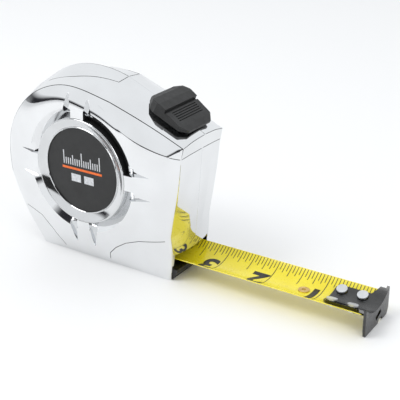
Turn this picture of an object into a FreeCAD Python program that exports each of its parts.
import FreeCAD, Part
import math
import os

# Power-return tape measure, millimetres.
# Origin: centre of the flat base. +X: the way the blade comes out.
# +Z: up. -Y: the side that carries the front label.

V = FreeCAD.Vector

# ---- driving dimensions -------------------------------------------------
dial_x = -7.0            # reel axis, also the centre of both dials
dial_z = 46.0
side_y = 20.5            # flat of the case side
rim_y = 17.5             # where the side turns into the crowned top
foot_y = 14.5            # half width of the base
shoulder_y = 9.0
slope_top = (7.5, 88.6)  # ridge where the front slope starts
slope_end = (48.5, 68.5)
wall = 3.0

chamber_r = 37.0         # round reel chamber
chamber_y = 14.7
cavity_y = 13.2
mouth_y = 13.6
mouth_top = 13.1
mouth_floor = 5.6

blade_w = 25.4
blade_t = 0.3
blade_r = 18.4           # radius of the blade's cup
blade_z = 6.1            # underside of the cup
blade_end = 130.3
blade_joint = 60.0       # end of the part that winds off the reel

hook_x = 131.5           # inner face of the hook: the zero of the scale
hook_t = 1.2
clearance = 0.3          # between parts that move past each other
hook_back = 110.8
hook_half = 7.7
hook_flange_half = 12.0
hook_foot_z = 0.3
hook_top_z = 13.0

coil_r = 34.0
drum_r = 15.5
post_r = 4.0
flange_r = 35.5
running = 0.05

label_r = 20.2
ring_r = 25.2
label_y = 18.9           # face of the label
recess_r = 29.6
recess_y = 17.0
ring_y = 20.9

screw_spots = [(-38.0, 11.0), (-36.3, 75.3), (25.5, 16.5)]
rivet_s = 5.9            # distance of the rivets from the middle, along the cup
rivet_spots = [(x, s) for s in (rivet_s, -rivet_s) for x in (114.1, 123.7)]
rivet_r = 1.05
eyelet_x = 98.5


# ---- helpers ------------------------------------------------------------
def slope_angle():
    rise = slope_top[1] - slope_end[1]
    run = slope_end[0] - slope_top[0]
    return math.degrees(math.atan2(rise, run))


def on_slope(shape):
    """Moves a shape drawn flat (x down the slope, z out of it) onto the slope."""
    moved = shape.copy()
    moved.rotate(V(0, 0, 0), V(0, 1, 0), slope_angle())
    moved.translate(V(slope_top[0], 0, slope_top[1]))
    return moved


def box(x0, x1, y0, y1, z0, z1):
    return Part.makeBox(x1 - x0, y1 - y0, z1 - z0, V(x0, y0, z0))


def cylinder_y(x, z, r, y0, y1):
    return Part.makeCylinder(r, y1 - y0, V(x, y0, z), V(0, 1, 0))


def prism_xz(points, y0, y1):
    loop = [V(x, y0, z) for x, z in points]
    loop.append(loop[0])
    return Part.Face(Part.makePolygon(loop)).extrude(V(0, y1 - y0, 0))


def prism_xy(points, z0, z1):
    loop = [V(x, y, z0) for x, y in points]
    loop.append(loop[0])
    return Part.Face(Part.makePolygon(loop)).extrude(V(0, 0, z1 - z0))


def yz_strip(points, x0, x1):
    loop = [V(x0, y, z) for y, z in points]
    loop.append(loop[0])
    return Part.Face(Part.makePolygon(loop)).extrude(V(x1 - x0, 0, 0))


def revolve_y(profile, x, z):
    """Turns a (radius, y) profile about a Y axis through x, z."""
    loop = [V(x + r, y, z) for r, y in profile]
    loop.append(loop[0])
    face = Part.Face(Part.makePolygon(loop))
    return face.revolve(V(x, 0, z), V(0, 1, 0), 360)


def mirror_y(shape):
    return shape.mirror(V(0, 0, 0), V(0, 1, 0))


# ---- case ---------------------------------------------------------------
crown = [
    (0.0, 90.3), (-10.0, 91.3), (-20.0, 90.4), (-30.0, 87.0), (-39.5, 81.0),
    (-46.5, 72.5), (-51.5, 60.0), (-53.0, 47.0), (-52.0, 34.0),
]
below = -1.0             # the foot is drawn down to here, then cut off flat at 0


def shrink(points, kx, kz):
    moved = []
    for x, z in points:
        moved.append((dial_x + (x - dial_x) * kx, dial_z + (z - dial_z) * kz))
    return moved


def outline(y, front, ridge, back, kx, kz):
    """One closed section: straight foot, front and slope, then the curved back."""
    curve = [ridge] + shrink(crown, kx, kz) + [back[0]]
    straight = front + [ridge]
    edges = []
    loop = [back[1]] + straight
    for a, b in zip(loop, loop[1:]):
        edges.append(Part.LineSegment(V(a[0], y, a[1]), V(b[0], y, b[1])).toShape())
    spline = Part.BSplineCurve()
    spline.interpolate([V(x, y, z) for x, z in curve])
    edges.append(spline.toShape())
    edges.append(Part.LineSegment(V(back[0][0], y, back[0][1]), V(back[1][0], y, back[1][1])).toShape())
    return Part.Wire(edges)


def case_sections():
    return [
        outline(0.0, [(39.3, below), (42.0, 13), (43.0, 25.5), (46.2, 61), (48.5, 68.5)],
                slope_top, [(-47.5, 18), (-37.5, below)], 1.0, 1.0),
        outline(shoulder_y, [(39.1, below), (41.9, 13), (43.0, 25.5), (46.1, 61), (48.3, 68.1)],
                (7.5, 87.2), [(-47.6, 18), (-37.4, below)], 0.998, 0.965),
        outline(foot_y, [(37.3, below), (40.6, 13), (42.3, 25.5), (45.4, 61), (47.7, 67.2)],
                (7.4, 84.0), [(-47.4, 18), (-37.0, below)], 0.994, 0.915),
        outline(rim_y, [(24.0, 12), (36.0, 22), (40.0, 29), (43.2, 59.5), (46.3, 66.0)],
                (7.3, 81.4), [(-46.0, 23), (-34.0, 12)], 0.985, 0.87),
        outline(side_y, [(20.0, 16), (31.0, 23), (36.5, 31), (38.8, 57), (38.0, 62.5)],
                (5.0, 75.6), [(-37.0, 28), (-28.0, 16)], 0.76, 0.66),
    ]


def case_half_outer():
    half = Part.makeLoft(case_sections(), True, True)
    return half.cut(box(-80, 80, -1, 30, 2 * below, 0))


def cavity():
    front = [(34.8, 3.2), (37.6, 15.2), (39.2, 27.0), (42.0, 60.0), (44.2, 65.6)]
    ridge = (6.6, 81.3)
    section = outline(-cavity_y, front, ridge, [(-42.0, 20.0), (-35.0, 3.2)], 0.89, 0.86)
    room = Part.Face(section).extrude(V(0, 2 * cavity_y, 0))
    chamber = cylinder_y(dial_x, dial_z, chamber_r, -chamber_y, chamber_y)
    lock_room = on_slope(box(9.0, 42.5, -10.5, 10.5, -14.0, -wall))
    channel = box(10.0, 50.0, -mouth_y, mouth_y, mouth_floor, mouth_top)
    notch = box(33.5, 50.0, -mouth_y, mouth_y, -1.0, mouth_floor + 0.5)
    slot = on_slope(box(19.3, 35.0, -4.4, 4.4, -5.0, 4.0))
    hollow = room.fuse([chamber, lock_room, channel, notch, slot])
    for x, z in screw_spots:
        hollow = hollow.cut(cylinder_y(x, z, 2.8, -25, 25))
    for sign in (-1, 1):
        boss = cylinder_y(dial_x, dial_z, 6.5, min(sign * 14.25, sign * 15), max(sign * 14.25, sign * 15))
        hollow = hollow.cut(boss)
    return hollow.removeSplitter()


def claw(angle, side, tip_r, tip_y):
    """A tapered groove that runs out from the dial recess."""
    low, high = 3.6 * side, 8.6 * side
    triangle = prism_xz([(27.0, low), (27.0, high), (tip_r, 5.4 * side)], 10, 30)
    depth = prism_xy([(20.0, 40.0), (20.0, 18.8), (27.0, 18.8), (tip_r, tip_y), (tip_r + 5, 40.0)], -12, 12)
    groove = triangle.common(depth)
    groove.rotate(V(0, 0, 0), V(0, -1, 0), angle)
    groove.translate(V(dial_x, 0, dial_z))
    return groove


def dial_cut():
    """Everything cut into the +Y side of the case round the dial."""
    pocket = cylinder_y(dial_x, dial_z, ring_r + 0.1, recess_y, 30)
    ring = cylinder_y(dial_x, dial_z, recess_r, recess_y, 30)
    for angle in (0, 90):
        land = box(-40, 40, 0, 40, -3.6, 3.6)
        land.rotate(V(0, 0, 0), V(0, 1, 0), angle)
        land.translate(V(dial_x, 0, dial_z))
        ring = ring.cut(land)
    tools = [ring]
    for angle, tip_r, tip_y in ((0, 41.0, 20.3), (90, 36.5, 18.4), (180, 38.5, 18.9), (270, 36.5, 16.9)):
        for side in (-1, 1):
            tools.append(claw(angle, side, tip_r, tip_y))
    return pocket.fuse(tools)


def screw_cut(x, z):
    return cylinder_y(x, z, 1.5, -11, 15).fuse(cylinder_y(x, z, 3.1, 13.0, 30))


def case_shell(side):
    half = case_half_outer()
    half = half.cut(dial_cut())
    if side < 0:
        half = mirror_y(half)
    half = half.cut(cavity())
    for x, z in screw_spots:
        half = half.cut(screw_cut(x, z))
    half = half.cut(cylinder_y(dial_x, dial_z, post_r + running, -15.5, 15.5))
    if side > 0:
        half = half.cut(clip_hole())
    largest = max(half.Solids, key=lambda s: s.Volume)
    return largest


def dial_ring():
    profile = [
        (label_r + 0.1, recess_y), (ring_r, recess_y), (ring_r, ring_y - 0.4), (ring_r - 0.3, ring_y),
        (ring_r - 0.8, ring_y), (label_r + 0.9, label_y + 0.4), (label_r + 0.7, label_y + 0.7),
        (label_r + 0.1, label_y + 0.7),
    ]
    return revolve_y(profile, dial_x, dial_z)


def label_disc():
    return cylinder_y(dial_x, dial_z, label_r, recess_y, label_y)


def label_disc_right():
    return label_disc().cut(clip_hole())


def case_screw(x, z):
    head = cylinder_y(x, z, 2.9, 13.0, 14.8)
    recess = box(x - 2.0, x + 2.0, 14.0, 16.0, z - 0.35, z + 0.35)
    cross = box(x - 0.35, x + 0.35, 14.0, 16.0, z - 2.0, z + 2.0)
    shank = cylinder_y(x, z, 1.45, -10, 13.0)
    return head.fuse(shank).cut(recess).cut(cross)


def mouth_bumper():
    body = prism_xz([(33.7, 0.3), (38.6, 0.3), (41.2, 4.2), (41.2, mouth_floor), (33.7, mouth_floor)],
                    -mouth_y + 0.1, mouth_y - 0.1)
    return body


def blade_guide():
    """Low bar inside the mouth that the blade slides on."""
    bar = box(20.0, 32.0, -11.0, 11.0, 3.2, 5.2)
    nose = cylinder_y(26.0, 4.6, 1.1, -11.0, 11.0)
    return bar.fuse(nose)


def centre_post():
    post = cylinder_y(dial_x, dial_z, post_r, -15.4, 15.4)
    slit = box(dial_x - 0.4, dial_x + 0.4, -11.5, 11.5, dial_z, dial_z + 6)
    return post.cut(slit)


# ---- reel ---------------------------------------------------------------
def reel_drum():
    outer = cylinder_y(dial_x, dial_z, drum_r, -13.1, 13.1)
    inner = cylinder_y(dial_x, dial_z, drum_r - 1.2, -13.1, 13.1)
    return outer.cut(inner)


def reel_flange(side):
    y0, y1 = (13.1, 14.1) if side > 0 else (-14.1, -13.1)
    disc = cylinder_y(dial_x, dial_z, flange_r, y0, y1)
    disc = disc.cut(cylinder_y(dial_x, dial_z, post_r + running, y0, y1))
    for k in range(6):
        a = math.radians(60 * k + 30)
        window = cylinder_y(dial_x + 24 * math.cos(a), dial_z + 24 * math.sin(a), 5.5, y0, y1)
        disc = disc.cut(window)
    return disc


def blade_coil():
    outer = cylinder_y(dial_x, dial_z, coil_r, -blade_w / 2, blade_w / 2)
    return outer.cut(cylinder_y(dial_x, dial_z, drum_r, -blade_w / 2, blade_w / 2))


def mainspring():
    """Flat spring wound between the post and the drum."""
    turns, first, last, leaf = 5, post_r + 1.0, drum_r - 2.0, 0.35
    steps = 60
    outer_side, inner_side = [], []
    for i in range(steps + 1):
        t = i / steps
        a = 2 * math.pi * turns * t
        r = first + (last - first) * t
        outer_side.append(V(dial_x + (r + leaf) * math.cos(a), -11, dial_z + (r + leaf) * math.sin(a)))
        inner_side.append(V(dial_x + r * math.cos(a), -11, dial_z + r * math.sin(a)))
    spline_out = Part.BSplineCurve()
    spline_out.interpolate(outer_side)
    spline_in = Part.BSplineCurve()
    spline_in.interpolate(inner_side)
    ends = [
        Part.LineSegment(inner_side[0], outer_side[0]).toShape(),
        Part.LineSegment(inner_side[-1], outer_side[-1]).toShape(),
    ]
    wire = Part.Wire(Part.__sortEdges__([spline_out.toShape(), ends[1], spline_in.toShape(), ends[0]]))
    return Part.Face(wire).extrude(V(0, 22, 0))


# ---- blade --------------------------------------------------------------
def cup_point(x, radius, angle):
    centre = blade_z + blade_r
    return V(x, radius * math.sin(angle), centre - radius * math.cos(angle))


def on_cup(shape, across):
    """Moves a shape from the middle of the blade to a distance across the cup."""
    moved = shape.copy()
    moved.rotate(V(0, 0, blade_z + blade_r), V(1, 0, 0), math.degrees(across / blade_r))
    return moved


def cup_section(x, outer, inner, angle):
    """Closed section of a cupped strip, between two radii and +-angle."""
    low = Part.Arc(cup_point(x, outer, -angle), cup_point(x, outer, 0), cup_point(x, outer, angle))
    top = Part.Arc(cup_point(x, inner, angle), cup_point(x, inner, 0), cup_point(x, inner, -angle))
    right = Part.LineSegment(cup_point(x, outer, angle), cup_point(x, inner, angle))
    left = Part.LineSegment(cup_point(x, inner, -angle), cup_point(x, outer, -angle))
    return Part.Wire([low.toShape(), right.toShape(), top.toShape(), left.toShape()])


def flat_section(x, z):
    """The blade flattened, as it leaves the reel, with the same four edges."""
    half = blade_w / 2
    low = Part.Arc(V(x, -half, z + 0.02), V(x, 0, z), V(x, half, z + 0.02))
    top = Part.Arc(V(x, half, z + blade_t + 0.02), V(x, 0, z + blade_t), V(x, -half, z + blade_t + 0.02))
    right = Part.LineSegment(V(x, half, z + 0.02), V(x, half, z + blade_t + 0.02))
    left = Part.LineSegment(V(x, -half, z + blade_t + 0.02), V(x, -half, z + 0.02))
    return Part.Wire([low.toShape(), right.toShape(), top.toShape(), left.toShape()])


def blade_angle():
    return blade_w / 2 / blade_r


def blade_front():
    face = Part.Face(cup_section(blade_joint, blade_r, blade_r - blade_t, blade_angle()))
    strip = face.extrude(V(blade_end - blade_joint, 0, 0))
    for x, across in rivet_spots:
        strip = strip.cut(on_cup(Part.makeCylinder(rivet_r + running, 12, V(x, 0, 0)), across))
    return strip.cut(Part.makeCylinder(1.5, 20, V(eyelet_x, 0, 0)))


def blade_run():
    sections = [
        flat_section(dial_x, dial_z - coil_r - blade_t - 0.5),
        cup_section(30.0, blade_r, blade_r - blade_t, blade_angle()),
        cup_section(blade_joint, blade_r, blade_r - blade_t, blade_angle()),
    ]
    return Part.makeLoft(sections, True, True)


def blade_eyelet():
    low = blade_z + 0.02
    ring = Part.makeCylinder(1.45, 0.9, V(eyelet_x, 0, low - 0.3))
    flange = Part.makeCylinder(2.5, 0.35, V(eyelet_x, 0, low + blade_t + 0.15))
    return ring.fuse(flange).cut(Part.makeCylinder(0.9, 4, V(eyelet_x, 0, low - 1)))


def hook_rivets():
    head_r, tail_r = 2.4, 1.8
    plate_top = blade_z + blade_t + clearance + hook_t
    head_z = plate_top + 0.5
    solids = []
    for x, across in rivet_spots:
        tail = Part.makeCylinder(tail_r, 0.5, V(x, 0, blade_z - 0.5))
        shank = Part.makeCylinder(rivet_r, head_z - blade_z + 0.4, V(x, 0, blade_z - 0.2))
        head = Part.makeCylinder(head_r, 0.7, V(x, 0, head_z))
        solids.append(on_cup(shank.fuse([head, tail]), across))
    return Part.makeCompound(solids)


def slot_x(x, across, r, reach):
    """Slot tool through the hook plate, with round ends, running along X."""
    a = Part.makeCylinder(r, 9, V(x - reach, 0, 3))
    b = Part.makeCylinder(r, 9, V(x + reach, 0, 3))
    return on_cup(a.fuse([b, box(x - reach, x + reach, -r, r, 3, 12)]), across)


def hook_plate(outer, inner):
    """The curved plate on the blade, which widens towards the bend."""
    half, wide, end = hook_half, hook_flange_half, hook_x + hook_t
    section = cup_section(hook_back, outer, inner, math.asin(wide / outer))
    plate = Part.Face(section).extrude(V(end - hook_back, 0, 0))
    plan = prism_xy([
        (hook_back, 1.5 - half), (hook_back + 1.5, -half), (126.5, -half), (129.5, -wide), (end, -wide),
        (end, wide), (129.5, wide), (126.5, half), (hook_back + 1.5, half), (hook_back, half - 1.5),
    ], 0, 30)
    return plate.common(plan)


def hook_flange(inner):
    """The flange that hangs down in front of the blade, with a notch and a nail slot."""
    half, foot, notch = hook_flange_half, hook_foot_z, 1.6
    outline_yz = [
        (-half, hook_top_z), (half, hook_top_z), (half, 3.0), (half - 1.5, foot), (6.2, foot),
        (5.6, foot + notch), (2.2, foot + notch), (1.6, foot), (0.6 - half, foot), (-half, 3.0),
    ]
    flange = yz_strip(outline_yz, hook_x, hook_x + hook_t)
    above = Part.Face(cup_section(hook_x - 1, inner, 2.0, 1.2)).extrude(V(hook_t + 2, 0, 0))
    nail = box(hook_x - 2, hook_x + 4, -2.6, 2.6, -1.1, 1.1)
    nail.rotate(V(hook_x, 0, 0), V(1, 0, 0), 24)
    nail.translate(V(0, 1.2, 4.6))
    return flange.cut(above).cut(nail)


def hook():
    outer = blade_r - blade_t - clearance
    inner = outer - hook_t
    body = hook_plate(outer, inner).fuse(hook_flange(inner))
    for x, across in rivet_spots:
        body = body.cut(slot_x(x, across, rivet_r + clearance, 1.2))
    return body.cut(slot_x(118.9, -rivet_s, 0.75, 1.6)).removeSplitter()


# ---- lock ---------------------------------------------------------------
lock_s0 = 17.5
lock_s1 = 41.4
lock_lift = 0.4


def lock_button():
    profile = [
        (lock_s0, lock_lift), (lock_s1, lock_lift), (lock_s1, 1.6), (38.5, 2.6), (29.8, 4.1), (29.8, 3.5),
        (28.8, 3.5), (28.8, 5.3), (25.0, 5.9), (21.0, 5.6), (18.6, 4.4), (lock_s0, 2.6),
    ]
    body = prism_xz(profile, -12.6, 12.6)
    plan = prism_xy([
        (lock_s0, -6.5), (21.0, -11.2), (24.0, -12.4), (38.0, -11.9), (lock_s1, -8.5),
        (lock_s1, 8.5), (38.0, 11.9), (24.0, 12.4), (21.0, 11.2), (lock_s0, 6.5),
    ], -1, 9)
    body = body.common(plan)
    for k in range(5):
        s = 30.6 + 1.15 * k
        body = body.cut(box(s, s + 0.45, -9.0, 9.0, 3.75 - 0.17 * k - 0.35, 6.0))
    return on_slope(body)


def lock_slider():
    plate = box(21.5, 39.0, -8.5, 8.5, -5.5, -3.4)
    stem = box(25.6, 34.6, -4.0, 4.0, -3.4, lock_lift)
    return on_slope(plate.fuse(stem))


def brake_arm():
    arm = box(34.4, 36.9, -5.5, 5.5, 14.4, 72.0)
    above = on_slope(box(10.0, 60.0, -20, 20, -5.5, 20.0))
    return arm.cut(above)


def brake_toe():
    return box(34.4, 36.9, -11.6, 11.6, 11.6, 14.4)


def detent_spring():
    """Leaf under the top panel that the slider meets when the lock is released."""
    leaf = on_slope(box(9.2, 15.0, -3.0, 3.0, -wall - 0.5, -wall))
    tip = on_slope(box(12.6, 15.0, -3.0, 3.0, -5.0, -wall - 0.5))
    return leaf.fuse(tip)


# ---- belt clip ----------------------------------------------------------
clip_top = dial_z + 16.5
clip_half = 8.0
clip_t = 1.0
clip_pivot_y = 20.9      # middle of the leaf at the bend
clip_screw_z = dial_z + 11.0


def clip_foot():
    """The plate under the screw, with the bend over the leaf's round end."""
    x0, x1 = dial_x - clip_half, dial_x + clip_half
    lip_z = clip_top + clip_t / 2 + clearance
    foot = box(x0, x1, label_y, label_y + clip_t, dial_z + 6.0, lip_z)
    bend = box(x0, x1, label_y, clip_pivot_y + clip_t / 2, lip_z, lip_z + clip_t)
    return foot.fuse(bend).removeSplitter().cut(clip_hole())


def clip_leaf():
    """The sprung leaf: out from the bend, down along the case, and flared at the end."""
    y0, y1, y2, y3 = clip_pivot_y - clip_t / 2, clip_pivot_y + 1.7, clip_pivot_y + 2.9, clip_pivot_y + 4.3
    points = [
        (y0, clip_top), (y0, clip_top - 2.0), (y1, clip_top - 5.0), (y1, 25.0), (y2, 20.0), (y3, 15.0),
        (y3 + clip_t, 15.3), (y2 + clip_t, 20.3), (y1 + clip_t, 25.3), (y1 + clip_t, clip_top - 5.3),
        (y0 + clip_t, clip_top - 0.6), (y0 + clip_t, clip_top),
    ]
    leaf = yz_strip(points, dial_x - clip_half, dial_x + clip_half)
    end = Part.makeCylinder(clip_t / 2, 2 * clip_half, V(dial_x - clip_half, clip_pivot_y, clip_top), V(1, 0, 0))
    return leaf.fuse(end).removeSplitter()


def clip_hole():
    return cylinder_y(dial_x, clip_screw_z, 1.5, 14.0, 25.0)


def clip_screw():
    x, z = dial_x, clip_screw_z
    head_y = label_y + clip_t
    return cylinder_y(x, z, 1.45, 15.0, head_y).fuse(cylinder_y(x, z, 2.8, head_y, head_y + 1.0))


# ---- write --------------------------------------------------------------
def build():
    return {
        "case_shell_left": case_shell(-1),
        "case_shell_right": case_shell(1),
        "dial_ring_left": mirror_y(dial_ring()),
        "dial_ring_right": dial_ring(),
        "label_disc_left": mirror_y(label_disc()),
        "label_disc_right": label_disc_right(),
        "case_screws": Part.makeCompound([case_screw(x, z) for x, z in screw_spots]),
        "mouth_bumper": mouth_bumper(),
        "blade_guide": blade_guide(),
        "centre_post": centre_post(),
        "detent_spring": detent_spring(),
        "clip_foot": clip_foot(),
        "clip_screw": clip_screw(),
        "clip_leaf": clip_leaf(),
        "reel_drum": reel_drum(),
        "reel_flange_left": reel_flange(-1),
        "reel_flange_right": reel_flange(1),
        "blade_coil": blade_coil(),
        "mainspring": mainspring(),
        "blade_front": blade_front(),
        "blade_run": blade_run(),
        "blade_eyelet": blade_eyelet(),
        "hook_rivets": hook_rivets(),
        "hook": hook(),
        "lock_button": lock_button(),
        "lock_slider": lock_slider(),
        "brake_arm": brake_arm(),
        "brake_toe": brake_toe(),
    }


os.makedirs("parts", exist_ok=True)
for name, shape in build().items():
    shape.exportStep("parts/" + name + ".step")
    print(name, len(shape.Solids), round(shape.Volume, 1), shape.isValid())
